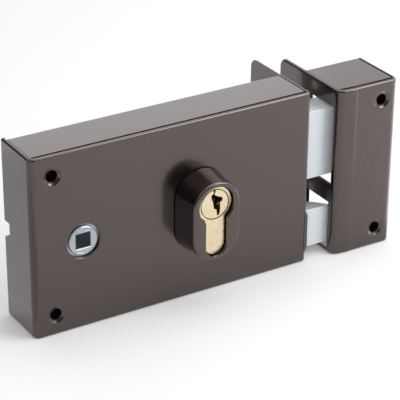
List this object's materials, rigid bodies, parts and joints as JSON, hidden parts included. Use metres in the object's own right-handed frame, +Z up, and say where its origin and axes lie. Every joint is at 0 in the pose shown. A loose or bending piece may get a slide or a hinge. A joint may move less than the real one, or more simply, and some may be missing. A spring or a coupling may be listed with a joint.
{
  "type": "door lock",
  "caption": "Surface-mounted door lock with sprung latch, key-worked deadbolt, profile cylinder in an oval guard, square spindle hole and matching keeper.",
  "frame": {"origin": "on the case's back plane, where the axis of the key cylinder crosses it", "axes": "+X along the door towards the keeper, +Y into the door, +Z up; the lock's front looks along -Y"},
  "size_m": [0.1875, 0.072, 0.086],
  "materials": {
    "brown_paint": "satin brown metallic powder coat",
    "brass": "turned and lightly polished",
    "plated_bolt": "bright nickel-plated, fine drawn lines",
    "cast_zinc": "die-cast, lightly machined face",
    "spring_steel": "drawn wire and strip",
    "screw_steel": "zinc-plated",
    "zinc_plated_steel": "zinc-plated pressed steel"
  },
  "bodies": {
    "case": {"case_cover": "brown_paint", "case_back": "brown_paint", "cover_posts": "zinc_plated_steel", "back_screws": "screw_steel", "fixing_tubes": "zinc_plated_steel", "cylinder_guard": "brown_paint", "guard_screws": "screw_steel", "cylinder_body": "brass", "cylinder_screw": "screw_steel", "inside_driver_pins": "brass", "outside_driver_pins": "brass", "pin_springs": "spring_steel", "pin_caps": "brass", "deadbolt_post": "zinc_plated_steel", "deadbolt_washer": "zinc_plated_steel", "detent_spring": "spring_steel", "detent_block": "zinc_plated_steel", "latch_spring": "spring_steel", "latch_guide_front": "zinc_plated_steel", "latch_guide_rear": "zinc_plated_steel", "guide_rivets": "zinc_plated_steel", "follower_bush": "zinc_plated_steel", "follower_stop": "zinc_plated_steel"},
    "key_set": {"inside_plug": "brass", "inside_plug_clip": "spring_steel", "inside_key_pins": "brass", "cylinder_cam": "zinc_plated_steel", "cam_coupler": "zinc_plated_steel"},
    "outside_set": {"outside_plug": "brass", "outside_plug_clip": "spring_steel", "outside_key_pins": "brass"},
    "deadbolt_set": {"deadbolt": "plated_bolt", "deadbolt_tail": "zinc_plated_steel", "tail_rivets": "zinc_plated_steel"},
    "latch_set": {"latch_bolt": "plated_bolt", "latch_tail": "zinc_plated_steel", "latch_pin": "zinc_plated_steel"},
    "follower_set": {"follower": "cast_zinc"},
    "keeper_set": {"keeper_cover": "brown_paint", "keeper_insert": "brown_paint", "keeper_tubes": "zinc_plated_steel", "keeper_rivets": "zinc_plated_steel"}
  },
  "joints": [
    {"name": "key_turn", "type": "hinge", "parent": "case", "child": "key_set", "pos_m": [0, -0.0085, 0], "axis": [0, -1, 0], "range_deg": [0, 360]},
    {"name": "outside_key_turn", "type": "hinge", "parent": "case", "child": "outside_set", "pos_m": [0, 0.0115, 0], "axis": [0, -1, 0], "range_deg": [0, 360]},
    {"name": "deadbolt_slide", "type": "slide", "parent": "case", "child": "deadbolt_set", "axis": [-1, 0, 0], "range_m": [0, 0.02], "deforming": ["detent_spring"]},
    {"name": "handle_turn", "type": "hinge", "parent": "case", "child": "follower_set", "pos_m": [-0.0585, -0.0133, -0.0078], "axis": [0, 1, 0], "range_deg": [0, 40]},
    {"name": "latch_slide", "type": "slide", "parent": "case", "child": "latch_set", "axis": [-1, 0, 0], "range_m": [0, 0.014], "stiffness_N_per_m": 300, "springref_m": -0.012, "deforming": ["latch_spring"]},
    {"name": "keeper_slide", "type": "slide", "parent": "case", "child": "keeper_set", "axis": [1, 0, 0], "range_m": [-0.01, 0.01]}
  ],
  "couplings": [
    {"joint": "key_turn", "follows": "deadbolt_slide", "rad_per_m": 314.15},
    {"joint": "handle_turn", "follows": "latch_slide", "rad_per_m": 49.86}
  ]
}
